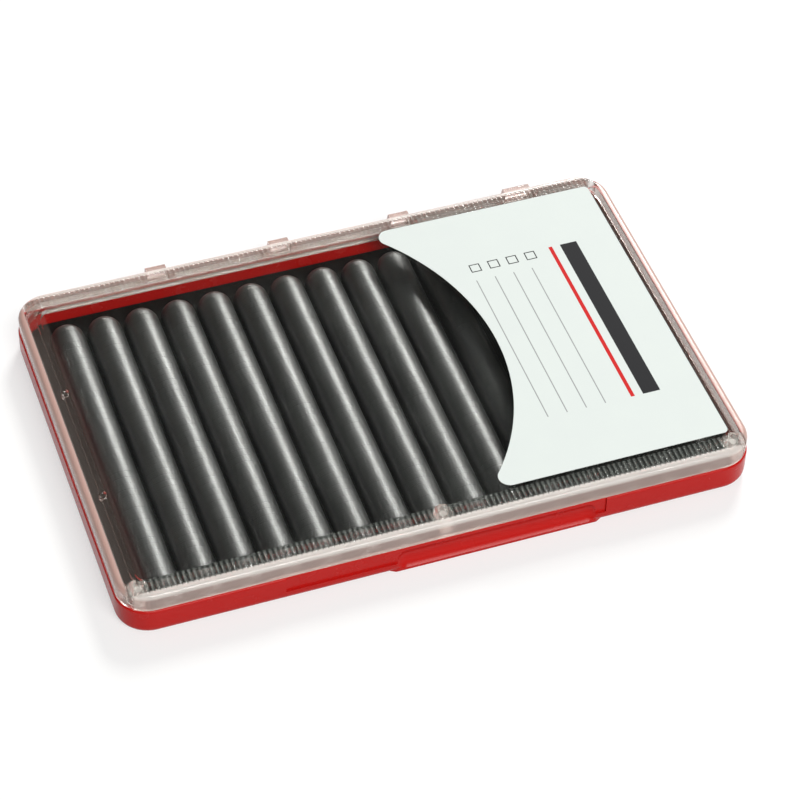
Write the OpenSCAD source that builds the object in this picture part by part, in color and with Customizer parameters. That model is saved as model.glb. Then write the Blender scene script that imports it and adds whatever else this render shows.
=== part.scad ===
// Slim fly box: red tray, clear hinged lid, slit foam rows.
// Origin: centre of the tray's underside. X runs along the front edge, Y to the hinge, Z up. Millimetres.

/* [Case] */
// Width of the tray along the front edge
case_w = 190; // [160:1:230]
// Depth of the tray from the front edge to the hinge side
case_d = 126; // [100:1:150]
// Height of the closed box, to the lid's top face
case_h = 15.2; // [14.8:0.1:24]
// Radius of the tray's corners in plan
corner_r = 9.8; // [8:0.1:14]
// Height of the edge where the lid meets the tray
base_h = 9.2; // [8.4:0.1:9.4]

/* [Tray] */
// Thickness of the tray's floor
floor_t = 1.6; // [1:0.1:2.4]
// Radius along the tray's lower edge
bottom_r = 2.4; // [0.6:0.1:3]
// Radius along the tray's upper outer edge
rim_edge_r = 0.7; // [0.3:0.05:0.9]
// Thickness of the tray's walls
wall_t = 1.4; // [1.2:0.1:1.6]
// Thickness of the front wall that is left behind the scoop
front_web = 1.2; // [0.8:0.1:1.4]
// Length that the thick part of the front wall runs on past the recess
web_past = 3; // [1:0.5:5]

/* [Finger recess] */
// Length of the shallow recess in the front wall
recess_w = 96; // [84:1:110]
// Depth of the shallow recess
recess_depth = 0.6; // [0.3:0.05:0.9]
// Height of the recess's lower edge above the ground
recess_low = 3.6; // [3:0.1:5]
// Length of the scoop under the fingertips
scoop_w = 60; // [30:1:64]
// Place of the scoop's middle, to the right of the box's middle
scoop_shift = 15; // [0:0.5:16]
// Depth of the scoop behind the recess
scoop_depth = 1.1; // [0.5:0.05:1.4]
// Radius of the scoop's hollow
scoop_r = 4.7; // [4.2:0.1:4.9]
// Height of the scoop's centre line
scoop_z = 4.8; // [4.6:0.1:5.4]
// Height of the lip below the scoop
lip_h = 1.8; // [1.4:0.1:2.4]
// Length over which each end of the lip fades into the wall
lip_taper = 5; // [2:0.5:8]

/* [Lid] */
// Step from the tray's outer wall in to the lid's outer wall
lid_inset = 0.4; // [0.2:0.05:0.8]
// Thickness of the lid's skirt
lid_wall = 2.4; // [2.2:0.1:2.8]
// Thickness of the lid's top
lid_top_t = 1.5; // [1:0.1:2]
// Radius along the lid's upper edge
lid_round = 1.6; // [0.8:0.1:1.7]
// Gap under the lid's edge when it is shut
seat_gap = 0.15; // [0.1:0.05:0.3]
// Depth of the tongue that the lid sets inside the tray's wall
tongue_drop = 1.8; // [1.6:0.1:2.4]
// Gap between the tongue and the tray's wall
tongue_gap = 0.4; // [0.35:0.05:0.6]
// Thickness of the rib that runs round under the lid's top
rib_t = 1.2; // [0.8:0.1:2]
// Height of the rib
rib_h = 1.5; // [0.8:0.1:2.4]
// Diameter of the nibs on the rib's sides
nib_d = 2.2; // [1.6:0.1:3]
// Height of the nibs
nib_h = 2.2; // [1.6:0.1:3.4]
// Distance from the middle of each side to a nib
nib_shift = 21; // [10:1:40]
// Diameter of the front posts where they leave the lid's top
post_top_d = 6; // [4.4:0.1:6.2]
// Diameter of the front posts at their foot
post_d = 3.8; // [3.4:0.1:4.2]
// Diameter of the hollow in each post
post_bore_d = 2.2; // [1.4:0.1:2.6]
// Distance from the tray's side to a corner post's centre line
post_side = 6; // [5.6:0.1:8]
// Distance from the tray's front to the posts' centre line
post_front = 5.6; // [5.4:0.1:7]
// Length of the snap beads at the two ends of the front edge
bead_w = 16; // [8:1:20]
// Height that each snap bead stands proud
bead_proud = 0.15; // [0.08:0.01:0.15]

/* [Grip strips] */
// Spacing of the grooves in the two grip strips
groove_pitch = 1.56; // [1.3:0.02:3]
// Width of each groove
groove_w = 0.8; // [0.5:0.05:1]
// Depth of each groove
groove_depth = 0.22; // [0.1:0.02:0.35]
// Length of each groove, across the strip
groove_len = 4.6; // [3:0.1:5]
// Distance from the lid's front or back face to a strip
strip_edge = 1.7; // [1.7:0.1:2]
// Distance that the strips run on past the lid's straight edges
strip_past = 2.4; // [0:0.1:2.6]

/* [Hinge] */
// Distance from the tray's left side to the first knuckle's middle
hinge_left = 45.7; // [30:0.5:50]
// Distance from the tray's right side to the last knuckle's middle
hinge_right = 26.7; // [24:0.5:40]
// Width of a knuckle
knuckle_w = 6.2; // [4:0.1:8]
// Width of the last knuckle, which is longer
end_knuckle_w = 8.5; // [4:0.1:10]
// Outer radius of the knuckles and the ears
knuckle_r = 1.8; // [1.6:0.05:1.9]
// Gap between a knuckle and the tray's back wall
hinge_gap = 0.3; // [0.25:0.05:0.6]
// Distance of the hinge axis below the lid's edge
axis_drop = 0.4; // [0.2:0.05:0.6]
// Diameter of a hinge pin
pin_d = 1.4; // [1:0.1:1.8]
// Running clearance between a pin and its knuckle, on the radius
pin_clear = 0.05; // [0.02:0.01:0.1]
// Width of one ear on the tray
ear_w = 2.4; // [1.6:0.1:3.4]
// Gap between an ear and the knuckle beside it
ear_gap = 0.3; // [0.25:0.05:0.5]
// Depth of a pin's end inside its ear
pin_sink = 0.2; // [0:0.05:0.5]
// Radius at the back of a knuckle's arm
arm_round = 1; // [0.5:0.1:1.2]
// Distance that a knuckle's arm stands out behind the lid
arm_reach = 3.2; // [2.6:0.1:3.4]
// Step from the lid's rounded upper edge down to an arm's top
arm_top_step = 0.2; // [0:0.05:0.6]
// Step from the lid's lower edge up to an arm's root
arm_low_step = 0.9; // [0.6:0.05:1.2]
// Depth of an ear's gusset below the hinge axis
gusset_drop = 4.1; // [2.4:0.1:5]

/* [Foam] */
// Thickness of the backing sheet
sheet_t = 1.5; // [1:0.1:2.5]
// Height of a foam row above the sheet, which is also its radius
row_h = 5.4; // [4:0.1:5.6]
// Gap between two foam rows
row_split = 0.74; // [0.4:0.02:2]
// Least gap between the outer rows and the tray's sides
row_side_gap = 6; // [3:0.1:7]
// Gap between the ends of a row and the tray's wall
row_end_gap = 5.2; // [4:0.1:8]
// Gap between the backing sheet and the tray's walls
sheet_gap = 0.7; // [0.4:0.1:1.5]
// Radius of the backing sheet's corners
sheet_corner_r = 8.5; // [8:0.1:12]
// Spacing of the slits across a row
slit_pitch = 2.4; // [2:0.05:6]
// Width of a slit
slit_w = 0.25; // [0.1:0.05:0.5]
// Depth of a slit below the row's crest
slit_depth = 3; // [1:0.1:3.6]

/* [Label] */
// Thickness of the label
label_t = 0.12; // [0.08:0.02:0.3]
// Width of the label at its waist
label_waist = 50.9; // [35:0.5:60]
// Radius of the hollow arc along its left edge
label_arc_r = 78; // [72:1:120]
// Radius of the two tips at the ends of the arc
label_tip_r = 3.4; // [2:0.1:5]
// Radius of the two right-hand corners
label_corner_r = 1.5; // [0.5:0.1:4]
// Distance from the tray's right side to the label
label_side = 6.1; // [4:0.1:12]
// Distance from the tray's back to the label
label_back = 6.4; // [4:0.1:12]
// Distance from the tray's front to the label
label_front = 8.3; // [6:0.1:14]

/* [Hidden] */
$fn = 64;
// Small overlap that carries a cut past a face
past = 0.5;

// Lid and tray, worked inward from the tray's outer wall
lid_w = case_w - 2 * lid_inset;
lid_d = case_d - 2 * lid_inset;
lid_r = corner_r - lid_inset;
lid_z = base_h + seat_gap;
inner_w = case_w - 2 * wall_t;
inner_d = case_d - 2 * wall_t;
inner_r = corner_r - wall_t;
tongue_in = wall_t + tongue_gap;
tongue_low = lid_z - tongue_drop;
ceiling_z = case_h - lid_top_t;

// Front face places
front_y = -case_d / 2;
recess_y = front_y + recess_depth;
scoop_y = recess_y + scoop_depth - scoop_r;
scoop_half = scoop_w / 2;
lip_edge_r = 0.45;
// Inner face of the front wall, thin at the ends and thick behind the recess
thin_y = front_y + wall_t;
thick_y = recess_y + scoop_depth + front_web;
thick_half = recess_w / 2 + web_past;
// Place where the thick part has run out into the thin wall, at 45 degrees
thin_x = thick_half + thick_y - thin_y;

// Posts hang from the ceiling and end a little above the tray's edge
post_foot_gap = 0.4;
post_low = base_h + post_foot_gap;
post_x = case_w / 2 - post_side;
post_y = front_y + post_front;
post_places = [[-post_x, post_y], [0, post_y], [post_x, post_y]];
// The rib runs through the posts and turns its corners at the outer ones
rib_r = post_top_d;

// Snap beads: the tray's above, the lid's below
bead_r = 0.4;
bead_z = base_h - 0.6;
bead_step = 0.65;
bead_x = (thin_x + case_w / 2 - corner_r) / 2;

// Hinge
hinge_count = 4;
axis_y = case_d / 2 + hinge_gap + knuckle_r;
axis_z = base_h - axis_drop;
hinge_pitch = (case_w - hinge_left - hinge_right) / (hinge_count - 1);
lid_back_y = lid_d / 2;
// Places on the knuckle's circle where the gusset and the arm meet it, from the level
gusset_angle = 45;
arm_back_angle = 10;
arm_front_angle = 20;
arm_top = case_h - lid_round - arm_top_step;
arm_low = lid_z + arm_low_step;

// Grip strips fill the lid's front and back edges between the round corners
strip_y = lid_back_y - strip_edge - groove_len / 2;
groove_count = floor((lid_w - 2 * lid_r + 2 * strip_past) / groove_pitch);
groove_r = groove_w * groove_w / (8 * groove_depth) + groove_depth / 2;

// Foam
sheet_top = floor_t + sheet_t;
row_pitch = 2 * row_h + row_split;
row_count = floor((inner_w + row_split - 2 * row_side_gap) / row_pitch);
row_len = inner_d - 2 * row_end_gap;
// The slits stop half a row's height short of each end
slit_count = floor((row_len - row_h) / slit_pitch) + 1;

// Label outline
label_right_x = case_w / 2 - label_side;
label_back_y = case_d / 2 - label_back;
label_front_y = front_y + label_front;
label_mid_y = (label_back_y + label_front_y) / 2;
label_half = (label_back_y - label_front_y) / 2;
label_arc_x = label_right_x - label_waist - label_arc_r;
tip_dy = label_half - label_tip_r;
// Depth that a tip's circle bites into the arc, so that the two outlines cross cleanly
tip_bite = 0.05;
// The blank that the arc is cut from starts this far inside the arc
arc_spare = 1;
tip_reach = label_arc_r + label_tip_r - tip_bite;
tip_dx = sqrt(tip_reach * tip_reach - tip_dy * tip_dy);

function hinge_x(n) = -case_w / 2 + hinge_left + (n - 1) * hinge_pitch;
function hinge_w(n) = n == hinge_count ? end_knuckle_w : knuckle_w;
function row_x(n) = (n - (row_count + 1) / 2) * row_pitch;
function row_name(n) = str("foam_row_", n < 10 ? "0" : "", n);
function pin_name(n) = str("hinge_pin_", n);

// Half section of a slab's edge, with a radius below and one above
module edge_section(reach, height, low_r, top_r) {
    translate([0, low_r]) square([reach, height - low_r - top_r]);
    square([reach - low_r, height / 2]);
    translate([0, height / 2]) square([reach - top_r, height / 2]);
    if (low_r > 0) translate([reach - low_r, low_r]) circle(low_r);
    if (top_r > 0) translate([reach - top_r, height - top_r]) circle(top_r);
}

// Slab with round corners in plan and rounded edges: corners turned, sides drawn straight
module rounded_slab(width, depth, radius, height, low_r, top_r) {
    across = width - 2 * radius;
    along = depth - 2 * radius;
    for (quarter = [0 : 3]) {
        side_x = quarter == 0 || quarter == 3 ? 1 : -1;
        side_y = quarter < 2 ? 1 : -1;
        translate([side_x * across / 2, side_y * along / 2, 0])
            rotate([0, 0, 90 * quarter])
                rotate_extrude(angle = 90) edge_section(radius, height, low_r, top_r);
    }
    for (side = [-1, 1]) {
        translate([-across / 2, side * along / 2, 0])
            rotate([90, 0, 90])
                linear_extrude(across) scale([side, 1]) edge_section(radius, height, low_r, top_r);
        translate([side * across / 2, along / 2, 0])
            rotate([90, 0, 0])
                linear_extrude(along) scale([side, 1]) edge_section(radius, height, low_r, top_r);
    }
    translate([-across / 2, -along / 2, 0]) cube([across, along, height]);
}

// Rectangle with round corners
module round_rect(width, depth, radius) {
    square([width - 2 * radius, depth], center = true);
    square([width, depth - 2 * radius], center = true);
    for (side_x = [-1, 1], side_y = [-1, 1])
        translate([side_x * (width / 2 - radius), side_y * (depth / 2 - radius)]) circle(radius);
}

// Bar along X with the section drawn in the Y-Z plane, centred on a place
module bar_x(length, middle = 0) {
    translate([middle - length / 2, 0, 0]) rotate([90, 0, 90]) linear_extrude(length) children();
}

// Shallow recess with the same edge radius as the rim above it
module recess_cut() {
    bar_x(recess_w) {
        translate([front_y - past, recess_low]) square([recess_depth + past, base_h - recess_low + past]);
        difference() {
            translate([recess_y - past, base_h - rim_edge_r]) square([rim_edge_r + past, rim_edge_r + past]);
            translate([recess_y + rim_edge_r, base_h - rim_edge_r]) circle(rim_edge_r);
            translate([recess_y + rim_edge_r, base_h - rim_edge_r]) square(2 * rim_edge_r);
        }
    }
}

// Ball-ended scoop
module scoop_cut() {
    reach = sqrt(scoop_r * scoop_r - pow(scoop_r - scoop_depth, 2));
    straight = scoop_w - 2 * reach;
    translate([scoop_shift, scoop_y, scoop_z]) {
        rotate([0, 90, 0]) cylinder(h = straight, r = scoop_r, center = true);
        for (side = [-1, 1]) translate([side * straight / 2, 0, 0]) sphere(scoop_r);
    }
}

// Lip that carries the wall down to the ground under the scoop
module lip() {
    lip_deep = bottom_r + past;
    intersection() {
        bar_x(scoop_w + 2 * lip_taper, scoop_shift) {
            translate([front_y + lip_edge_r, 0]) square([lip_deep - lip_edge_r, lip_h]);
            translate([front_y, lip_edge_r]) square([lip_deep, lip_h - 2 * lip_edge_r]);
            translate([front_y + lip_edge_r, lip_edge_r]) circle(lip_edge_r);
            translate([front_y + lip_edge_r, lip_h - lip_edge_r]) circle(lip_edge_r);
        }
        linear_extrude(lip_h) polygon([
            [scoop_shift - scoop_half, front_y],
            [scoop_shift + scoop_half, front_y],
            [scoop_shift + scoop_half + lip_taper, front_y + lip_deep],
            [scoop_shift - scoop_half - lip_taper, front_y + lip_deep]
        ]);
    }
}

// Thick part of the front wall, behind the recess
module front_pad() {
    translate([0, 0, floor_t / 2]) linear_extrude(base_h - floor_t / 2) polygon([
        [-thin_x, thin_y],
        [-thin_x, thin_y - wall_t / 2],
        [thin_x, thin_y - wall_t / 2],
        [thin_x, thin_y],
        [thick_half, thick_y],
        [-thick_half, thick_y]
    ]);
}

// Two beads along the front edge; the section is a circle sunk into its wall
module snap_beads(wall_y, out, height_z) {
    for (side = [-1, 1])
        bar_x(bead_w, side * bead_x) translate([wall_y - out * (bead_r - bead_proud), height_z]) circle(bead_r);
}

// One ear of the tray with its gusset
module ear(middle) {
    root_y = case_d / 2 - past;
    bar_x(ear_w, middle) {
        translate([axis_y, axis_z]) circle(knuckle_r);
        polygon([
            [root_y, axis_z - axis_drop],
            [axis_y - knuckle_r, axis_z],
            [axis_y, axis_z],
            [axis_y + knuckle_r * cos(gusset_angle), axis_z - knuckle_r * sin(gusset_angle)],
            [root_y, axis_z - gusset_drop]
        ]);
    }
}

module pin_bore(n, radius) {
    length = hinge_w(n) + 2 * (ear_gap + ear_w + past);
    translate([hinge_x(n), axis_y, axis_z]) rotate([0, 90, 0]) cylinder(h = length, r = radius, center = true);
}

module base_tray() {
    color([0.73, 0.17, 0.15]) difference() {
        union() {
            difference() {
                union() {
                    difference() {
                        rounded_slab(case_w, case_d, corner_r, base_h, bottom_r, rim_edge_r);
                        translate([0, 0, floor_t]) linear_extrude(base_h) round_rect(inner_w, inner_d, inner_r);
                    }
                    front_pad();
                }
                recess_cut();
            }
            lip();
            snap_beads(thin_y, 1, bead_z);
            for (n = [1 : hinge_count], side = [-1, 1])
                ear(hinge_x(n) + side * (hinge_w(n) / 2 + ear_gap + ear_w / 2));
        }
        scoop_cut();
        for (n = [1 : hinge_count]) pin_bore(n, pin_d / 2);
    }
}

// Side view of a knuckle and the arm that joins it to the lid's back wall
module knuckle_section() {
    arm_y = lid_back_y + arm_reach - arm_round;
    translate([axis_y, axis_z]) circle(knuckle_r);
    translate([arm_y, arm_top - arm_round]) circle(arm_round);
    polygon([
        [lid_back_y - lid_wall / 2, arm_top],
        [arm_y, arm_top],
        [arm_y + arm_round, arm_top - arm_round],
        [axis_y + knuckle_r * cos(arm_back_angle), axis_z + knuckle_r * sin(arm_back_angle)],
        [axis_y - knuckle_r * cos(arm_front_angle), axis_z + knuckle_r * sin(arm_front_angle)],
        [lid_back_y - lid_wall / 2, arm_low]
    ]);
}

// Slab that sets the lid's tongue, left out where the tray's front wall is thick
module tongue_slab() {
    cut_half = thin_x + tongue_gap;
    difference() {
        translate([0, 0, tongue_low]) linear_extrude(lid_z - tongue_low + past)
            round_rect(case_w - 2 * tongue_in, case_d - 2 * tongue_in, corner_r - tongue_in);
        translate([-cut_half, front_y, tongue_low - past])
            cube([2 * cut_half, thick_y - front_y + tongue_gap, tongue_drop + past]);
    }
}

// Rib under the lid's top, through the posts, with two nibs on each side
module rib_ring() {
    translate([0, 0, ceiling_z - rib_h]) linear_extrude(rib_h + lid_top_t / 2) difference() {
        round_rect(2 * post_x + rib_t, -2 * post_y + rib_t, rib_r + rib_t / 2);
        round_rect(2 * post_x - rib_t, -2 * post_y - rib_t, rib_r - rib_t / 2);
    }
    for (side = [-1, 1], end = [-1, 1])
        translate([side * post_x, end * nib_shift, ceiling_z - nib_h])
            cylinder(h = nib_h + lid_top_t / 2, d = nib_d);
}

// Row of round-bottomed grooves along one edge of the lid
module grip_grooves(strip_middle) {
    for (n = [0 : groove_count - 1])
        translate([(n - (groove_count - 1) / 2) * groove_pitch, strip_middle, case_h + groove_r - groove_depth])
            rotate([90, 0, 0]) cylinder(h = groove_len, r = groove_r, center = true);
}

module lid() {
    color([0.85, 0.87, 0.85, 0.4]) difference() {
        union() {
            difference() {
                union() {
                    translate([0, 0, lid_z]) rounded_slab(lid_w, lid_d, lid_r, case_h - lid_z, 0, lid_round);
                    tongue_slab();
                }
                translate([0, 0, tongue_low - past]) linear_extrude(ceiling_z - tongue_low + past)
                    round_rect(lid_w - 2 * lid_wall, lid_d - 2 * lid_wall, lid_r - lid_wall);
            }
            rib_ring();
            for (place = post_places)
                translate([place[0], place[1], post_low])
                    cylinder(h = ceiling_z + past - post_low, d1 = post_d, d2 = post_top_d);
            snap_beads(front_y + tongue_in, -1, bead_z - bead_step);
            for (n = [1 : hinge_count]) bar_x(hinge_w(n), hinge_x(n)) knuckle_section();
        }
        for (place = post_places)
            translate([place[0], place[1], post_low - past])
                cylinder(h = ceiling_z - post_low + past, d = post_bore_d);
        for (side = [-1, 1]) grip_grooves(side * strip_y);
        for (n = [1 : hinge_count]) pin_bore(n, pin_d / 2 + pin_clear);
    }
}

module hinge_pin(n) {
    length = hinge_w(n) + 2 * (ear_gap + ear_w - pin_sink);
    color([0.75, 0.75, 0.77]) translate([hinge_x(n), axis_y, axis_z])
        rotate([0, 90, 0]) cylinder(h = length, d = pin_d, center = true);
}

// Sheet that fills the tray, from the thick front wall to the back
module foam_sheet() {
    sheet_front = thick_y + sheet_gap;
    sheet_back = inner_d / 2 - sheet_gap;
    color([0.10, 0.10, 0.09]) translate([0, (sheet_front + sheet_back) / 2, floor_t])
        linear_extrude(sheet_t)
            round_rect(inner_w - 2 * sheet_gap, sheet_back - sheet_front, sheet_corner_r);
}

// Half-round bar with domed ends, cut flat where it is glued to the sheet
module row_body() {
    straight = row_len - 2 * row_h;
    intersection() {
        union() {
            rotate([90, 0, 0]) cylinder(h = straight, r = row_h, center = true);
            for (side = [-1, 1]) translate([0, side * straight / 2, 0]) sphere(row_h);
        }
        translate([-row_h - past, -row_len / 2 - past, 0])
            cube([2 * (row_h + past), row_len + 2 * past, row_h + past]);
    }
}

// One row, with slits across its crest that grip the bends of the hooks
module foam_row(n) {
    color([0.12, 0.12, 0.11]) translate([row_x(n), 0, sheet_top]) difference() {
        row_body();
        for (slit = [0 : slit_count - 1])
            translate([-row_h, (slit - (slit_count - 1) / 2) * slit_pitch - slit_w / 2, row_h - slit_depth])
                cube([2 * row_h, slit_w, slit_depth + past]);
    }
}

module label_disc(centre_x, centre_y, radius) {
    translate([centre_x, centre_y, 0]) cylinder(h = label_t, r = radius);
}

// Sticker cut to a hollow arc on its left, with two round tips and two round corners
module label() {
    tip_x = label_arc_x + tip_dx;
    corner_x = label_right_x - label_corner_r;
    corner_dy = label_half - label_corner_r;
    // The blank's left corners, on the lines from the arc's centre to the tips
    start_share = (label_arc_r - arc_spare) / tip_reach;
    start_x = label_arc_x + tip_dx * start_share;
    start_dy = tip_dy * start_share;
    color([0.93, 0.97, 0.95]) translate([0, label_mid_y, case_h]) {
        difference() {
            union() {
                linear_extrude(label_t) polygon([
                    [start_x, start_dy],
                    [tip_x, tip_dy],
                    [tip_x, label_half],
                    [corner_x, label_half],
                    [corner_x, -label_half],
                    [tip_x, -label_half],
                    [tip_x, -tip_dy],
                    [start_x, -start_dy]
                ]);
                translate([label_right_x - 2 * label_corner_r, -corner_dy, 0])
                    cube([2 * label_corner_r, 2 * corner_dy, label_t]);
                for (side = [-1, 1]) label_disc(corner_x, side * corner_dy, label_corner_r);
            }
            translate([label_arc_x, 0, -past]) cylinder(h = label_t + 2 * past, r = label_arc_r, $fn = 360);
        }
        for (side = [-1, 1]) label_disc(tip_x, side * tip_dy, label_tip_r);
    }
}

base_tray();
lid();
label();
foam_sheet();
for (n = [1 : hinge_count]) hinge_pin(n);
for (n = [1 : row_count]) foam_row(n);
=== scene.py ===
# %% [markdown]
# # Dressing a slim fly box
# The packed model brings the tray, the clear lid, the label, the hinge pins and the foam as plain
# solids in their real places. Everything below gives them their finish: red moulded plastic,
# clear plastic, black slit foam, printed paper and drawn steel wire. Nothing here moves a packed
# piece. We begin by loading the frame and by keeping its outer box, to print beside the dressed
# one at the end.

# %% Load the frame
import math
import random
from types import SimpleNamespace

import bpy
from mathutils import Matrix, Vector


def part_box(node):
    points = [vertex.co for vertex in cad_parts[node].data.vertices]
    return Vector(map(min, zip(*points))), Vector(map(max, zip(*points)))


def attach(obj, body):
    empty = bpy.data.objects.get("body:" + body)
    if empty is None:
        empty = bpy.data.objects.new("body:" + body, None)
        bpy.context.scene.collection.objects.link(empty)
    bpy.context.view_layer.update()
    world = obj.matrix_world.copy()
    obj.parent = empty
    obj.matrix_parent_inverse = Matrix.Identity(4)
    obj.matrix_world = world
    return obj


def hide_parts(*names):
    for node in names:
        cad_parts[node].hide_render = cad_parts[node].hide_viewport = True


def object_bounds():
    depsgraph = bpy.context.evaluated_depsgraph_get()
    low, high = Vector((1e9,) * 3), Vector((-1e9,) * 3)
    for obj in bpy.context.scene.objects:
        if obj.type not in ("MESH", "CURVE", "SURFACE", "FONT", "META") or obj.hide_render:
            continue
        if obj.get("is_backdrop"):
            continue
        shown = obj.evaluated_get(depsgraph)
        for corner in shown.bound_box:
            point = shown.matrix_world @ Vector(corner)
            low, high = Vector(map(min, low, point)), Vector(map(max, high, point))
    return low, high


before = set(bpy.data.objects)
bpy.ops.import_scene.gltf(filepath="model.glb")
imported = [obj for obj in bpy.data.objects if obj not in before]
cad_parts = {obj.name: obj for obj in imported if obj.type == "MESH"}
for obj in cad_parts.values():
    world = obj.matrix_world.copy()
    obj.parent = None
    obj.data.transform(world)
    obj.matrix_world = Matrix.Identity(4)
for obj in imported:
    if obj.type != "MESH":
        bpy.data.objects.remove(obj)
packed_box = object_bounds()
MM = 0.001

print("packed pieces:", len(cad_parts))

# %% [markdown]
# ## Measures that the frame already knows
# A finish or a soft piece has to line up with the moulded parts. Its sizes could be typed in
# again, but then they would go wrong as soon as the model changes. So each size is read from the
# frame where it is needed. The tray's comes first, because the floor lies under it.

# %% Read the main measures
tray_low, tray_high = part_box("base_tray")
lid_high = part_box("lid")[1]
case_width = tray_high.x - tray_low.x
case_height = lid_high.z - tray_low.z

print(f"box {case_width / MM:.1f} mm wide and {case_height / MM:.1f} mm high")

# %% [markdown]
# ## Directions and objects
# A camera and a lamp both look along their own -Z. Each could be aimed with angles round three
# axes, but it is easier to say from where it looks: a turn round the box and a rise above the
# table. The three helpers below turn that into a matrix and put a new object in the scene.

# %% Aim and add things
def direction(turn, rise):
    """Unit vector towards a place turned right from behind the box and raised, in radians."""
    flat = math.cos(rise)
    return Vector((math.sin(turn) * flat, math.cos(turn) * flat, math.sin(rise)))


def facing(right, up, back):
    """The rotation of a camera or lamp that has these three directions for its own axes."""
    return Matrix((right, up, back)).transposed().to_4x4()


def add_object(name, data):
    """A new object in the scene that shows this camera, lamp or mesh."""
    thing = bpy.data.objects.new(name, data)
    bpy.context.scene.collection.objects.link(thing)
    return thing


print("straight up is", [round(v, 3) for v in direction(0, math.pi / 2)])

# %% [markdown]
# ## The camera
# The photograph looks down on the box from the front and a little from its left, with a long
# lens, so the far edge is hardly shorter than the near one. A turn, a rise and a roll fix the
# direction. The distance and a small sideways step then put the box in its place in the square
# picture.

# %% Place the camera
CAMERA_TURN = math.radians(-20.35)
CAMERA_RISE = math.radians(46.12)
CAMERA_ROLL = math.radians(1.61)
CAMERA_DISTANCE = 864.8 * MM
CAMERA_STEP_RIGHT = 7.0 * MM
CAMERA_STEP_UP = 2.3 * MM
LENS = 130.7
SENSOR = 36.0


def place_camera():
    back = direction(math.pi - CAMERA_TURN, CAMERA_RISE)
    right = Vector((0, 0, 1)).cross(back).normalized()
    up = back.cross(right)
    place = back * CAMERA_DISTANCE + right * CAMERA_STEP_RIGHT + up * CAMERA_STEP_UP
    roll = Matrix.Rotation(CAMERA_ROLL, 4, "Z")
    data = bpy.data.cameras.new("camera")
    data.lens = LENS
    data.sensor_width = SENSOR
    camera = add_object("camera", data)
    camera.matrix_world = Matrix.Translation(place) @ facing(right, up, back) @ roll
    bpy.context.scene.camera = camera
    return camera


camera = place_camera()
print("camera at", [round(v / MM) for v in camera.matrix_world.translation], "mm")

# %% [markdown]
# ## Shader maths that reads like maths
# A mask such as "inside this stripe and not in that corner" is a formula. It could be built from
# Math nodes one by one, but it is easiest to check when it is written as a formula. So each
# socket is wrapped in a small class whose operators add the Math node that they stand for.

# %% Wrap the sockets that carry a number
class Link:
    """An output socket of a node, on its way to another node."""

    def __init__(self, finish, socket):
        self.finish = finish
        self.socket = socket


class Number(Link):
    """A link that carries one number."""

    def math(self, operation, first, second):
        return self.finish.node("ShaderNodeMath", {"operation": operation}, {0: first, 1: second})

    def __add__(self, other):
        return self.math("ADD", self, other)

    def __radd__(self, other):
        return self.math("ADD", other, self)

    def __sub__(self, other):
        return self.math("SUBTRACT", self, other)

    def __rsub__(self, other):
        return self.math("SUBTRACT", other, self)

    def __mul__(self, other):
        return self.math("MULTIPLY", self, other)

    def __rmul__(self, other):
        return self.math("MULTIPLY", other, self)

    def __abs__(self):
        return self.finish.node("ShaderNodeMath", {"operation": "ABSOLUTE"}, {0: self})

    def at_least(self, other):
        return self.math("MAXIMUM", self, other)

    def at_most(self, other):
        return self.math("MINIMUM", self, other)

    def repeated(self, step):
        """What is left after the last whole step, from 0 to step."""
        return self.math("FLOORED_MODULO", self, step)

    def ramp(self, start, end):
        """0 at start, 1 at end and smooth between them."""
        return self.finish.node(
            "ShaderNodeMapRange",
            {"interpolation_type": "SMOOTHSTEP"},
            {"Value": self, "From Min": start, "From Max": end},
        )

    def within(self, low, high, edge=0.06):
        """1 between two places and 0 outside, with a soft edge."""
        return self.ramp(low - edge, low + edge) * (1 - self.ramp(high - edge, high + edge))


print("a number can be", [name for name in vars(Number) if not name.startswith("_")])

# %% [markdown]
# Places and colours are vectors. A Math node would turn a colour grey and flatten a place to one
# number, so they get a class of their own, which adds Vector Math nodes. It needs only what this
# box uses: to be scaled, to be stretched and to give one of its three numbers.

# %% Wrap the sockets that carry a vector
class Place(Link):
    """A link that carries a vector, such as a place in millimetres."""

    def __mul__(self, other):
        """Scales by a number, or stretches by three."""
        scaled, settings = {0: self, "Scale": other}, {"operation": "SCALE"}
        if isinstance(other, tuple):
            scaled, settings = {0: self, 1: other}, {"operation": "MULTIPLY"}
        return self.finish.node("ShaderNodeVectorMath", settings, scaled, wrap=Place)

    __rmul__ = __mul__

    def axis(self, name):
        return self.finish.node("ShaderNodeSeparateXYZ", {}, {0: self}, output=name)


print("a place can be", [name for name in vars(Place) if not name.startswith("_")])

# %% [markdown]
# ## One method for every other node
# Noise, bump and the shaders themselves all come from one method. It takes the node's type, then
# the settings that decide which sockets the node has, and last the values or links of those
# sockets. The same class serves a material and the world, because both own a node tree.

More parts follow.
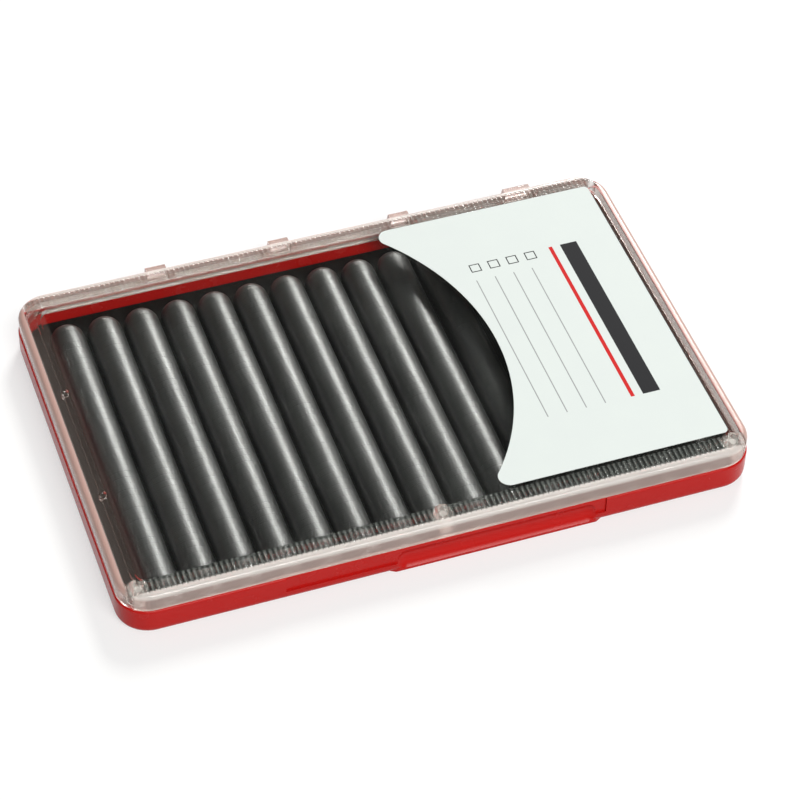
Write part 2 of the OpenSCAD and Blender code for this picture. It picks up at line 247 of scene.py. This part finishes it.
# %% Build finishes
class Finish:
    """The node tree of a material or a world, while it is being built."""

    def __init__(self, owner):
        self.owner = owner
        owner.use_nodes = True
        self.tree = owner.node_tree
        self.tree.nodes.clear()

    def node(self, kind, settings, sockets, output=0, wrap=Number):
        made = self.tree.nodes.new(kind)
        for name, value in settings.items():
            setattr(made, name, value)
        for name, value in sockets.items():
            if isinstance(value, Link):
                self.tree.links.new(value.socket, made.inputs[name])
            else:
                made.inputs[name].default_value = value
        return None if output is None else wrap(self, made.outputs[output])

    def place(self):
        """The place on a piece, in millimetres in the box's own frame."""
        return self.node("ShaderNodeTexCoord", {}, {}, output="Object", wrap=Place) * (1 / MM)

    def noise(self, place, size, detail=2.0):
        """Soft noise from 0 to 1, with blobs about size millimetres across."""
        sockets = {"Vector": place, "Scale": 1 / size, "Detail": detail}
        return self.node("ShaderNodeTexNoise", {}, sockets)

    def cells(self, place, per_mm):
        """A pattern of closed cells, 0 in the middle of each, with so many to a millimetre."""
        sockets = {"Vector": place, "Scale": per_mm}
        return self.node("ShaderNodeTexVoronoi", {}, sockets, output="Distance")

    def mix(self, share, first, second):
        """The colour that goes from first to second."""
        sockets = {0: share, 6: first, 7: second}
        return self.node("ShaderNodeMix", {"data_type": "RGBA"}, sockets, output=2, wrap=Place)

    def bump(self, height, depth):
        """A normal for a height from 0 to 1 that stands for depth in millimetres."""
        sockets = {"Height": height, "Distance": depth * MM, "Strength": 1.0}
        return self.node("ShaderNodeBump", {}, sockets, wrap=Place)

    def ray(self, kind):
        """1 for rays of this kind, such as Camera, and 0 for the rest."""
        return self.node("ShaderNodeLightPath", {}, {}, output=f"Is {kind} Ray")

    def shader(self, kind, sockets):
        return self.node(kind, {}, sockets, wrap=Link)

    def plastic(self, **sockets):
        """The main shader, with its sockets named as in the interface."""
        named = {name.replace("_", " "): value for name, value in sockets.items()}
        return self.shader("ShaderNodeBsdfPrincipled", named)

    def either(self, share, first, second):
        """The first shader where share is 0, the second where it is 1."""
        return self.shader("ShaderNodeMixShader", {0: share, 1: first, 2: second})

    def done(self, surface, kind="ShaderNodeOutputMaterial"):
        self.node(kind, {}, {"Surface": surface}, output=None)
        return self.owner


print("a finish has", [name for name in vars(Finish) if not name.startswith("_")])

# %% [markdown]
# Two small helpers keep the pieces below short. One starts a new material. The other puts a
# material on a piece, in place of the plain one that a packed piece comes with.

# %% Put a finish on a piece
def finish_of(name):
    return Finish(bpy.data.materials.new(name))


def paint(piece, material):
    piece.data.materials.clear()
    piece.data.materials.append(material)
    print(f"{piece.name} painted with {material.name}")


print(len(bpy.data.materials), "plain materials came with the frame")

# %% [markdown]
# ## Floor and background
# The box stands on a white sheet that runs on to a white background. A white floor in plain light
# renders a light grey. More light would make it white and spoil the box, so a glow is added to a
# greyer floor, for rays from the camera and for those that reach it in a mirror or through clear
# plastic. The glow lights nothing, and the floor keeps the box's shadow.

# %% White floor
FLOOR_WHITE = (0.44, 0.44, 0.44, 1)
FLOOR_GLOW = 0.56
WHITE = (1, 1, 1, 1)


def seen(finish):
    """1 for rays that show something to the eye, straight, mirrored or through clear plastic."""
    straight_or_mirrored = finish.ray("Camera").at_least(finish.ray("Glossy"))
    return straight_or_mirrored.at_least(finish.ray("Transmission"))


def white_floor():
    finish = finish_of("floor_white")
    matt = finish.shader("ShaderNodeBsdfDiffuse", {"Color": FLOOR_WHITE})
    glow = finish.shader("ShaderNodeEmission", {"Color": WHITE, "Strength": FLOOR_GLOW})
    glowing = finish.shader("ShaderNodeAddShader", {0: matt, 1: glow})
    return finish.done(finish.either(seen(finish), matt, glowing))


print("floor colour", FLOOR_WHITE[0], "and glow", FLOOR_GLOW)

# %% [markdown]
# The floor lies a hair below the tray, so that the two faces never lie in the same place. It is
# far wider than the picture, so its edge is never seen. It is a part of the stage and not of the
# box.

# %% Lay the floor
FLOOR_HALF = 4.0
FLOOR_DROP = 0.02 * MM
FLOOR_CORNERS = [(-1, -1), (1, -1), (1, 1), (-1, 1)]


def lay_floor():
    level = tray_low.z - FLOOR_DROP
    corners = [(x * FLOOR_HALF, y * FLOOR_HALF, level) for x, y in FLOOR_CORNERS]
    mesh = bpy.data.meshes.new("floor")
    mesh.from_pydata(corners, [], [(0, 1, 2, 3)])
    floor = add_object("floor", mesh)
    paint(floor, white_floor())
    floor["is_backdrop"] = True


lay_floor()

# %% [markdown]
# ## The sky
# The world does three jobs here. To matt surfaces it is an even, dim fill light. To the camera it
# is the white background. In a mirror it is white only near the horizon: the flat lid mirrors
# what is above and behind the box, and there the photograph shows deep black, so the sky is dark
# up there. An image of a studio could do the same, but three plain colours are easier to steer.

# %% Light the sky
SKY_FILL = (0.2, 0.2, 0.2, 1)
SKY_DARK = (0.01, 0.01, 0.01, 1)
SKY_WHITE_BELOW = 0.08
SKY_DARK_ABOVE = 0.25


def light_sky():
    finish = Finish(bpy.data.worlds.new("studio_sky"))
    towards = finish.node("ShaderNodeTexCoord", {}, {}, output="Generated", wrap=Place)
    height = towards.axis("Z").ramp(SKY_WHITE_BELOW, SKY_DARK_ABOVE)
    colour = finish.mix(seen(finish), SKY_FILL, finish.mix(height, WHITE, SKY_DARK))
    colour = finish.mix(finish.ray("Camera"), colour, WHITE)
    backdrop = finish.shader("ShaderNodeBackground", {"Color": colour})
    bpy.context.scene.world = finish.done(backdrop, "ShaderNodeOutputWorld")


light_sky()
bpy.context.scene.view_settings.view_transform = "Standard"
print("sky fill", SKY_FILL[0])

# %% [markdown]
# ## Two soft lamps
# Black foam shows its shape only by its shine. In the photograph each row carries one bright
# stripe, which comes from a soft lamp behind the box and to its right. It hangs low, because a
# higher one would show as a white patch in the flat lid, and it is an ellipse, so that its mirror
# image has no corners. The second lamp is wide and stands in front, to light the tray's front
# wall. It hangs high enough that the scoop in that wall doesn't mirror it as a white sheen.

# %% Light the lamps
LAMP_DISTANCE = 2.2
LAMP_WHITE = (1.0, 1.0, 0.985)
BACK_LAMP = {"turn": 33, "rise": 33, "wide": 0.58, "long": 0.85, "power": 44}
FRONT_LAMP = {"turn": 174, "rise": 41, "wide": 1.7, "long": 0.7, "power": 38}


def light_lamp(name, turn, rise, wide, long, power):
    data = bpy.data.lights.new(name, "AREA")
    data.shape = "ELLIPSE"
    data.size = wide
    data.size_y = long
    data.energy = power
    data.color = LAMP_WHITE
    towards = direction(math.radians(turn), math.radians(rise))
    across = Vector((0, 1, 0)).cross(towards).normalized()
    lamp = add_object(name, data)
    place = Matrix.Translation(towards * LAMP_DISTANCE)
    lamp.matrix_world = place @ facing(across, towards.cross(across), towards)
    area = math.pi / 4 * wide * long
    degrees = math.degrees(wide / LAMP_DISTANCE)
    print(f"{name}: radiance {power / (math.pi * area):.1f}, {degrees:.0f} degrees wide")


light_lamp("back_lamp", **BACK_LAMP)
light_lamp("front_lamp", **FRONT_LAMP)

# %% [markdown]
# ## Red moulded plastic
# The tray is one moulding of red plastic. Its skin has a soft shine and is no mirror: the tool's
# polish leaves a very fine grain, and slow changes in flow make the red and the shine drift a
# little. A painted texture could show that, but noises at three scales give it more cleanly. The
# specular level stays low, because a strong one would grey the deep red. All noise sizes are in
# millimetres.

# %% Red plastic
RED_DEEP = (0.48, 0.008, 0.006, 1)
RED_BRIGHT = (0.55, 0.012, 0.009, 1)
FLOW_STRETCH = (0.3, 1.0, 1.0)
FLOW_SIZE = 14
GRAIN_SIZE, GRAIN_DEPTH = 0.35, 0.003
HANDLING_SIZE = 6
RED_ROUGH, RED_HANDLED = 0.20, 0.12
RED_IOR = 1.53
RED_SPECULAR = 0.16


def red_plastic():
    finish = finish_of("red_moulded_plastic")
    place = finish.place()
    flow = finish.noise(place * FLOW_STRETCH, FLOW_SIZE, detail=3)
    grain = finish.noise(place, GRAIN_SIZE)
    handling = finish.noise(place, HANDLING_SIZE, detail=4)
    return finish.done(finish.plastic(
        Base_Color=finish.mix(flow, RED_DEEP, RED_BRIGHT),
        Roughness=RED_ROUGH + handling * RED_HANDLED,
        IOR=RED_IOR,
        Specular_IOR_Level=RED_SPECULAR,
        Normal=finish.bump(grain, GRAIN_DEPTH),
    ))


paint(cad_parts["base_tray"], red_plastic())

# %% [markdown]
# ## The zones of the clear lid
# The lid is one moulding, yet the photograph shows it clear as glass in the middle and milky at
# its edges, where the eye looks through a lot of plastic or at a fine pattern. Separate materials
# would meet in hard lines. So the lid has one material, and masks say how far each place belongs
# to a zone: the skirt all round, its shoulder at the top, the two sides, the ribbed strips in
# front and behind with their grooves, the rib ring under the top, and the three posts inside the
# front edge. All numbers are millimetres in the box's own frame. A pair of them is the start and
# the end of a soft step, except for RIB_X, which is the band that the side ribs fill.

# %% Zones of the lid
SKIRT_X = (92.0, 92.9)
SKIRT_Y = (60.0, 60.9)
SHOULDER_Z = (13.2, 14.4)
TOP_Z = (14.0, 14.6)
STRIP_Y = (55.6, 56.4)
GROOVE_PITCH = 1.56
GROOVE_HALF = (0.25, 0.55)
RIB_X, RIB_EDGE = (86.8, 92.2), 0.4
POST_X, POST_Y = 89.0, -57.4
POST_R = (2.2, 3.3)


def lid_zones(finish, place):
    """Masks that are 1 in their own zone of the lid and 0 outside."""
    x, y, z = (place.axis(name) for name in "XYZ")
    zone = SimpleNamespace()
    zone.sides = abs(x).ramp(*SKIRT_X)
    zone.skirt = zone.sides.at_least(abs(y).ramp(*SKIRT_Y))
    zone.shoulder = zone.skirt * z.ramp(*SHOULDER_Z)
    zone.side_shoulder = zone.shoulder * zone.sides
    top = z.ramp(*TOP_Z)
    zone.strips = abs(y).ramp(*STRIP_Y) * (1 - zone.skirt)
    zone.strip_tops = zone.strips * top
    off_groove = abs(x.repeated(GROOVE_PITCH) - GROOVE_PITCH / 2)
    zone.grooves = zone.strip_tops * (1 - off_groove.ramp(*GROOVE_HALF))
    zone.ribs = abs(x).within(*RIB_X, edge=RIB_EDGE) * (1 - top)
    beside, ahead = abs(x) - POST_X, y - POST_Y
    off_post = (x * x).at_most(beside * beside) + ahead * ahead
    zone.posts = (1 - off_post.ramp(POST_R[0] ** 2, POST_R[1] ** 2)) * (1 - top)
    return zone


print(f"{case_width / MM / GROOVE_PITCH:.0f} grooves would fill the whole width")

# %% [markdown]
# ## Clear plastic, with painted light at its edges
# True glass with refraction, on walls of real thickness, shows the lid's bright edges, posts and
# ribs by itself. Its skirt takes a warm pink tint, a painted reflection of the red tray seen
# through it, and fine wipe marks keep the sheen from being perfect. Scattering inside the plastic
# would be slow, and the zones are thin, so in them the lid is partly drawn as ordinary matt
# plastic whose colour is painted light: a pale green veil on the plate, which in the grooves of
# the strips is a painted glint along each rib; pink in the skirt and over the ribs, a painted
# reflection of the red tray seen through them; darker and rosier at the two sides, painted shade
# on that red; and cream at the posts and shoulders, a painted highlight of light coming back out
# of the rounded plastic.

# %% Clear plastic and painted light
CLEAR_IOR = 1.57
CLEAR_TINT = (0.965, 0.975, 0.965, 1)
# The skirt's warm tint is a painted reflection of the red tray seen through it.
SKIRT_PAINTED_PINK_TINT = (0.88, 0.79, 0.75, 1)
CLEAR_ROUGH = 0.012
SMEAR_ROUGH, SKIRT_ROUGH, STRIP_ROUGH = 0.02, 0.08, 0.03
WIPE_STRETCH = (1.0, 0.12, 1.0)
WIPE_SIZE, WIPE_DEPTH = 0.8, 0.0006
# This pale green is a faint veil on the plate and a painted glint along the ribs in the grooves.
VEIL_AND_GLINTS = (0.70, 0.77, 0.70, 1)
# This pink is a painted reflection of the red tray seen through the skirt and the side ribs.
PAINTED_TRAY_PINK = (0.82, 0.59, 0.52, 1)
# This darker rose is painted shade on the red tray seen through the two sides.
PAINTED_SHADED_PINK = (0.58, 0.38, 0.33, 1)
# This cream is a painted highlight, for light coming back out of the posts and the rounded
# shoulders.
PAINTED_HIGHLIGHT_CREAM = (0.90, 0.84, 0.79, 1)
MILKY_ROUGH, MILKY_SMEARED = 0.34, 0.1


def glassy(finish, place, zone):
    wiped = finish.noise(place * WIPE_STRETCH, WIPE_SIZE, detail=3)
    rough = CLEAR_ROUGH + zone.smear * SMEAR_ROUGH
    # In the skirt the glass takes the painted pink tint of the red tray below it.
    return finish.plastic(
        Base_Color=finish.mix(zone.skirt, CLEAR_TINT, SKIRT_PAINTED_PINK_TINT),
        Roughness=rough + zone.skirt * SKIRT_ROUGH + zone.strips * STRIP_ROUGH,
        IOR=CLEAR_IOR,
        Transmission_Weight=1.0,
        Normal=finish.bump(wiped, WIPE_DEPTH),
    )


# Ordinary matt plastic whose colour is painted light: red seen through, shade at the sides,
# highlights at posts and shoulders, glints in the grooves, over a faint veil.
def matt_with_painted_light(finish, zone):
    tone = finish.mix(zone.skirt.at_least(zone.ribs), VEIL_AND_GLINTS, PAINTED_TRAY_PINK)
    # At the two sides the pink darkens into painted shade.
    tone = finish.mix(zone.sides, tone, PAINTED_SHADED_PINK)
    # The posts and the front and back shoulders take the painted cream highlight.
    painted_highlight_share = zone.posts.at_least(zone.shoulder * (1 - zone.sides))
    return finish.plastic(
        Base_Color=finish.mix(painted_highlight_share, tone, PAINTED_HIGHLIGHT_CREAM),
        Roughness=MILKY_ROUGH + zone.smear * MILKY_SMEARED,
        IOR=CLEAR_IOR,
    )


print("light bends by", CLEAR_IOR, "in the lid")

# %% [markdown]
# ## How cloudy, and for which rays
# Each zone adds its share of matt plastic, with its painted light, to the clear one. The plate
# gets hardly any, because a thin veil already dims the stripes on the foam below it. Behind the
# ribbed strips a true lens would break the picture up into noise, so most of the glass gives way
# there to a plain filter.
# Light from a lamp finds its way through curved glass only by luck, which is slow and noisy. For
# shadow rays, and for light that is scattered inside the box, the lid is therefore just the faint
# grey filter, while the eye still sees real glass.

# %% Clear lid
FILTER_TINT = (0.95, 0.95, 0.94, 1)
STRIP_FILTERED = 0.8
SMEAR_SIZE, SMEAR_RANGE = 18, (0.45, 0.75)
PLATE_HAZE = 0.002
# The shares of skirt, shoulders, ribs, posts and grooves carry painted light: red seen through,
# shade, highlights and glints. Smear, strip tops and plate are a faint haze.
ZONE_HAZE_AND_PAINTED_LIGHT = {
    "smear": 0.004,
    "skirt": 0.33,
    "shoulder": 0.30,
    "side_shoulder": 0.2,
    "strip_tops": 0.015,
    # The grooves' share paints a pale glint along each rib.
    "grooves": 0.11,
    "ribs": 0.045,
    "posts": 0.30,
}


def clear_plastic():
    finish = finish_of("clear_plastic")
    place = finish.place()
    zone = lid_zones(finish, place)
    zone.smear = finish.noise(place, SMEAR_SIZE, detail=3).ramp(*SMEAR_RANGE)
    haze_and_painted_light = PLATE_HAZE
    for name, share in ZONE_HAZE_AND_PAINTED_LIGHT.items():
        haze_and_painted_light = haze_and_painted_light + getattr(zone, name) * share
    filtered = finish.shader("ShaderNodeBsdfTransparent", {"Color": FILTER_TINT})
    clear = finish.either(zone.strips * STRIP_FILTERED, glassy(finish, place, zone), filtered)
    # The matt share adds the painted light of the lid's edges.
    clouded_and_painted = finish.either(haze_and_painted_light, clear, matt_with_painted_light(finish, zone))
    inside = finish.either(finish.ray("Diffuse"), clouded_and_painted, filtered)
    return finish.done(finish.either(finish.ray("Shadow"), inside, filtered))


paint(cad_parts["lid"], clear_plastic())

# %% [markdown]
# ## Hinge pins
# Each hinge turns on a short piece of drawn steel wire. Drawing leaves fine lines along the wire.
# A bump image would have to be wrapped round each pin, while a noise that is stretched along X
# lies right by itself, and drives both the shine and a shallow bump.

# %% Steel wire
STEEL = (0.62, 0.62, 0.64, 1)
DRAWN_STRETCH = (0.05, 1.0, 1.0)
DRAWN_SIZE, DRAWN_DEPTH = 0.12, 0.004
STEEL_ROUGH, STEEL_DRAWN = 0.22, 0.2


def steel_wire():
    finish = finish_of("drawn_steel_wire")
    lines = finish.noise(finish.place() * DRAWN_STRETCH, DRAWN_SIZE, detail=3)
    return finish.done(finish.plastic(
        Base_Color=STEEL,
        Metallic=1.0,
        Roughness=STEEL_ROUGH + lines * STEEL_DRAWN,
        Normal=finish.bump(lines, DRAWN_DEPTH),
    ))


wire = steel_wire()
for node in sorted(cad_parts):
    if node.startswith("hinge_pin_"):
        paint(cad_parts[node], wire)

# %% [markdown]
# ## Black closed-cell foam
# The rows are cut from dense black foam with a fine skin. Its cells are a few tenths of a
# millimetre across, so a cell pattern and a finer noise make the bump. The foam itself is almost
# as black as soot, and all that shows is its skin, which shines broadly and strongly where the
# saw has polished it. That is why the specular level is full and the roughness middling.

# %% Foam of the rows
FOAM_DARK = (0.003, 0.0035, 0.003, 1)
FOAM_LIGHT = (0.007, 0.008, 0.007, 1)
ROW_CELLS, CELL_SHARE = 3.0, 0.6
DUST_SIZE, DUST_SHARE = 0.25, 0.4
ROW_PATCH = 12
ROW_ROUGH, ROW_DULLED = 0.44, 0.06
ROW_IOR = 1.50
ROW_PIT_DEPTH = 0.02


def black_foam():
    finish = finish_of("black_slit_foam")
    place = finish.place()
    dust = finish.noise(place, DUST_SIZE, detail=3)
    patch = finish.noise(place, ROW_PATCH, detail=3)
    pits = finish.cells(place, ROW_CELLS) * CELL_SHARE + dust * DUST_SHARE
    return finish.done(finish.plastic(
        Base_Color=finish.mix(patch, FOAM_DARK, FOAM_LIGHT),
        Roughness=ROW_ROUGH + patch * ROW_DULLED,
        IOR=ROW_IOR,
        Specular_IOR_Level=1.0,
        Normal=finish.bump(pits, ROW_PIT_DEPTH),
    ))


foam = black_foam()
print("foam cells", round(1 / ROW_CELLS, 2), "mm across")

# %% [markdown]
# The sheet under the rows is the same foam, sawn and not skinned. Its open cells are larger and
# deeper and scatter the light, so it stays dull where the rows shine. One material with a mask
# would do, but two plain ones are simpler to read.

# %% Foam of the backing sheet
SHEET_CELLS = 2.4
SHEET_PATCH = 10
SHEET_ROUGH, SHEET_DULLED = 0.75, 0.15
SHEET_SPECULAR = 0.25
SHEET_PIT_DEPTH = 0.04


def matt_foam():
    finish = finish_of("black_backing_foam")
    place = finish.place()
    patch = finish.noise(place, SHEET_PATCH, detail=3)
    return finish.done(finish.plastic(
        Base_Color=finish.mix(patch, FOAM_DARK, FOAM_LIGHT),
        Roughness=SHEET_ROUGH + patch * SHEET_DULLED,
        Specular_IOR_Level=SHEET_SPECULAR,
        Normal=finish.bump(finish.cells(place, SHEET_CELLS), SHEET_PIT_DEPTH),
    ))


backing_foam = matt_foam()
print("open cells", round(1 / SHEET_CELLS, 2), "mm across")

# %% [markdown]
# ## A foam row
# A row is a half-round bar, domed at its ends, with slits across its crest that grip the hooks.
# It could be a cylinder with cuts, but foam never has such crisp edges: beside each slit the skin
# rolls in a little. So the row is drawn as a stack of half-round sections along Y. Close to a
# slit the sections come in quick steps: the radius shrinks over the rolled lip, and in the slit
# itself the section is cut off low.

# %% One section of a row
ARC_STEPS = 28


def section(radius, cut):
    """Points over a half circle, from right to left, as (x, height), none above the cut."""
    angles = [math.pi * i / ARC_STEPS for i in range(ARC_STEPS + 1)]
    return [(radius * math.cos(a), min(radius * math.sin(a), cut)) for a in angles]


print(len(section(1, 1)), "points in a section")

# %% [markdown]
# A slit is a pair of steep walls with a rolled lip on each side. Foam closes over its slits, so
# each is only a hair wide. The lip falls away in a curve, which needs a few sections close
# together.

# %% Sections beside a slit
SLIT_DEPTH = 2.6 * MM
LIP_REACH = 0.4 * MM
LIP_DROP = 0.012 * MM
LIP_SHARES = (0.0, 0.2, 0.45, 0.75, 1.0)


def beside_slit(middle, half, radius):
    """Sections on both sides of a slit, as (y, drop, cut)."""
    found = [(middle + side * half / 2, LIP_DROP, radius - SLIT_DEPTH) for side in (-1, 1)]
    for side in (-1, 1):
        for share in LIP_SHARES:
            y = middle + side * (half + share * LIP_REACH)
            found.append((y, LIP_DROP * (1 - share) ** 2, radius))
    return found


print(len(beside_slit(0, 0, 1)), "sections to a slit")

# %% [markdown]
# The places of the slits follow from the row's own length and radius, and each dome is a quarter
# of a ball. A seeded random number opens some slits a little wider than others, as in a box that
# has held hooks, and gives the same row on each run.

# %% Sections along a row
SLIT_PITCH = 2.4 * MM
SLIT_HALF = 0.012 * MM
SLIT_SPREAD = (0.6, 1.7)
DOME_STEPS = 12
TIP_SHARE = 0.97


def row_sections(radius, half_length, chance):
    """All sections of a row from front to back, as (y, radius, cut)."""
    straight = half_length - radius
    slits = math.floor((2 * half_length - radius) / SLIT_PITCH) + 1
    marks = []
    for i in range(slits):
        middle = (i - (slits - 1) / 2) * SLIT_PITCH
        marks += beside_slit(middle, SLIT_HALF * chance.uniform(*SLIT_SPREAD), radius)
    last_mark = max(y for y, drop, cut in marks)
    for step in range(1, DOME_STEPS + 1):
        y = straight + radius * TIP_SHARE * math.sin(math.pi / 2 * step / DOME_STEPS)
        if y > last_mark:
            marks += [(y, 0, radius), (-y, 0, radius)]
    found = []
    for y, drop, cut in sorted(marks):
        past = max(abs(y) - straight, 0)
        found.append((y, math.sqrt(radius * radius - past * past) - drop, cut))
    return found


print(f"{SLIT_PITCH / MM:.1f} mm from slit to slit")

# %% [markdown]
# The sections are joined into one closed skin: side faces between neighbours, flat faces
# underneath, and a small flat face at each tip. Everything is shaded smooth, and only the walls
# of the slits and the underside keep a sharp edge, because they turn by more than a set angle.

# %% Join sections into a piece
SHARP = math.radians(50)


def skin(rings):
    """Points and faces that close a stack of rings with as many points each."""
    count = len(rings[0])
    last = (len(rings) - 1) * count
    faces = [tuple(reversed(range(count))), tuple(range(last, last + count))]
    for ring in range(len(rings) - 1):
        low, high = ring * count, (ring + 1) * count
        for i in range(count):
            j = (i + 1) % count
            faces.append((low + i, low + j, high + j, high + i))
    return [point for ring in rings for point in ring], faces


def foam_piece(name, rings, material):
    points, faces = skin(rings)
    mesh = bpy.data.meshes.new(name)
    mesh.from_pydata(points, [], faces)
    mesh.shade_smooth()
    mesh.set_sharp_from_angle(angle=SHARP)
    piece = add_object(name, mesh)
    paint(piece, material)
    return piece


print("edges sharper than", round(math.degrees(SHARP)), "degrees stay sharp")

# %% [markdown]
# Each packed row says where its strip goes and how big it is. The strip rides on the tray and
# stands in for the packed row.

# %% Build the rows
def foam_row(number, node):
    low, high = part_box(node)
    radius = (high.x - low.x) / 2
    middle_x = (low.x + high.x) / 2
    middle_y = (low.y + high.y) / 2
    rings = []
    for y, reach, cut in row_sections(radius, (high.y - low.y) / 2, random.Random(number)):
        arc = section(reach, cut)
        rings.append([(middle_x + x, middle_y + y, low.z + height) for x, height in arc])
    row = foam_piece(f"foam_strip_{number:02d}", rings, foam)
    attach(row, "tray")
    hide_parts(node)
    return row


row_names = sorted(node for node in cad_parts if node.startswith("foam_row_"))
rows = [foam_row(number, node) for number, node in enumerate(row_names, 1)]
print(len(rows), "rows,", len(rows[0].data.polygons), "faces each")

# %% [markdown]
# ## The backing sheet
# The rows are glued to one sheet of foam, die-cut with round corners. Its cut edge is a little
# rounded at the top. A bevel could do that, but a round rectangle is a short formula, and the
# rows' own skin function closes a stack of them with a shrinking margin.

# %% Draw a round rectangle
CORNER_STEPS = 8


def round_rectangle(low, high, corner, inset, level):
    """Points round a rectangle with round corners, drawn in by inset."""
    radius = corner - inset
    middles = [(high.x, high.y), (low.x, high.y), (low.x, low.y), (high.x, low.y)]
    points = []
    for quarter, (x, y) in enumerate(middles):
        side_x, side_y = (1 if x == high.x else -1), (1 if y == high.y else -1)
        for step in range(CORNER_STEPS + 1):
            angle = math.pi / 2 * (quarter + step / CORNER_STEPS)
            points.append((
                x - side_x * corner + radius * math.cos(angle),
                y - side_y * corner + radius * math.sin(angle),
                level,
            ))
    return points


print(len(round_rectangle(tray_low, tray_high, MM, 0, 0)), "points in a round rectangle")

# %% [markdown]
# The first ring lies on the tray's floor. The others follow a quarter circle over the edge, up to
# the sheet's flat top.

# %% Cut the backing sheet
SHEET_CORNER = 8.5 * MM
SHEET_EDGE = 0.5 * MM
EDGE_STEPS = 4


def backing_sheet():
    low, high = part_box("foam_sheet")
    rings = [round_rectangle(low, high, SHEET_CORNER, 0, low.z)]
    for step in range(EDGE_STEPS + 1):
        angle = math.pi / 2 * step / EDGE_STEPS
        inset = SHEET_EDGE * (1 - math.cos(angle))
        level = high.z - SHEET_EDGE * (1 - math.sin(angle))
        rings.append(round_rectangle(low, high, SHEET_CORNER, inset, level))
    sheet = foam_piece("foam_backing", rings, backing_foam)
    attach(sheet, "tray")
    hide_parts("foam_sheet")
    return sheet


sheet = backing_sheet()
print("backing sheet", [round(v / MM, 1) for v in sheet.dimensions], "mm")

# %% [markdown]
# ## The print on the label
# The label is a white sticker on the lid's top. Its print is a plain index card: a dark bar, a
# red rule, and thin lines to write on, each with a box to tick. An image would have to be painted
# and stored. Here the print is a set of masks in millimetres, so its edges stay sharp at any
# distance. The lines run front to back, so their places are given along X and their ends along Y.

# %% Places of the print
PRINT_FRONT, PRINT_BACK = -33.0, 34.0
BAR = (71.0, 76.4)
RULE = (67.2, 68.4)
FIRST_LINE, LINE_STEP, LINE_COUNT = 41.0, 6.0, 4
LIST_MARGIN = 1.0
LIST_END = FIRST_LINE + LINE_COUNT * LINE_STEP - LIST_MARGIN
LINE_WIDTH = 0.35
LINE_BACK = 27.0
TICK_SIZE = 3.4


def tick_boxes(across, along):
    """Outlines of the boxes to tick, across being the height above each line."""
    outer = across.within(0, TICK_SIZE) * along.within(PRINT_BACK - TICK_SIZE, PRINT_BACK)
    inner = across.within(LINE_WIDTH, TICK_SIZE - LINE_WIDTH)
    inner *= along.within(PRINT_BACK - TICK_SIZE + LINE_WIDTH, PRINT_BACK - LINE_WIDTH)
    return outer * (1 - inner)


print(LINE_COUNT, "lines, the last one before", LIST_END, "mm")

# %% [markdown]
# ## Paper
# The sticker is matt paper with a faint green cast. It has hardly any gloss, because a stronger
# specular level would wash out its white and grey its print under the lamps. Fine fibres make it
# a little rough. The paper's back is unprinted, and that is what shows through the open lid, so
# the print stops partway down through the paper.

# %% Printed paper
PAPER = (0.71, 0.76, 0.73, 1)
PAPER_SHADE = (0.69, 0.735, 0.715, 1)
INK_DARK = (0.020, 0.020, 0.022, 1)
INK_RED = (0.60, 0.015, 0.015, 1)
INK_GREY = (0.33, 0.34, 0.34, 1)
INK_LEVEL = (0.05, 0.07)
SHADE_SIZE = 9
FIBRE_SIZE, FIBRE_DEPTH = 0.25, 0.004
PAPER_ROUGH, PAPER_FIBROUS = 0.58, 0.08
PAPER_SPECULAR = 0.08
label_low, label_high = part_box("label")


def printed_paper():
    finish = finish_of("printed_paper")
    place = finish.place()
    x, y, z = (place.axis(name) for name in "XYZ")
    printed_side = z.ramp(*(label_low.z / MM + level for level in INK_LEVEL))
    field = y.within(PRINT_FRONT, PRINT_BACK) * printed_side
    listed = x.within(FIRST_LINE, LIST_END) * printed_side
    above_line = (x - FIRST_LINE).repeated(LINE_STEP)
    lines = above_line.within(0, LINE_WIDTH) * y.within(PRINT_FRONT, LINE_BACK) * listed
    fibres = finish.noise(place, FIBRE_SIZE, detail=4)
    colour = finish.mix(finish.noise(place, SHADE_SIZE), PAPER, PAPER_SHADE)
    colour = finish.mix(x.within(*BAR) * field, colour, INK_DARK)
    colour = finish.mix(x.within(*RULE) * field, colour, INK_RED)
    colour = finish.mix(lines, colour, INK_GREY)
    colour = finish.mix(tick_boxes(above_line, y) * listed, colour, INK_DARK)
    return finish.done(finish.plastic(
        Base_Color=colour,
        Roughness=PAPER_ROUGH + fibres * PAPER_FIBROUS,
        Specular_IOR_Level=PAPER_SPECULAR,
        Normal=finish.bump(fibres, FIBRE_DEPTH),
    ))


print("paper", round((label_high.z - label_low.z) / MM, 2), "mm thick")

# %% [markdown]
# ## Stick the label on
# A sticker touches the plastic below it. If the two faces lie in exactly the same place, a ray
# that comes through the lid finds now one and now the other, and the label's back breaks up into
# streaks. So the label is drawn again from the packed one, with its underside lifted by the
# thickness of its glue. Its outline, its top and its place stay the same.

# %% Stick the label on
GLUE = 0.02 * MM


def paper_label():
    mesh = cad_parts["label"].data.copy()
    middle = (label_low.z + label_high.z) / 2
    for vertex in mesh.vertices:
        if vertex.co.z < middle:
            vertex.co.z += GLUE
    label = add_object("paper_label", mesh)
    paint(label, printed_paper())
    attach(label, "lid")
    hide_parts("label")
    return label


label = paper_label()
print("label", [round(v / MM, 1) for v in label.dimensions], "mm")

# %% [markdown]
# ## Measure and finish
# The dressed box must be as big as the packed one, so both outer boxes are printed, one above
# the other.

# %% Write the sizes
dressed_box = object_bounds()
sizes = {
    "cad": [list(corner) for corner in packed_box],
    "visual": [list(corner) for corner in dressed_box],
}
for name, corners in sizes.items():
    print(name, [[round(v / MM, 1) for v in corner] for corner in corners])
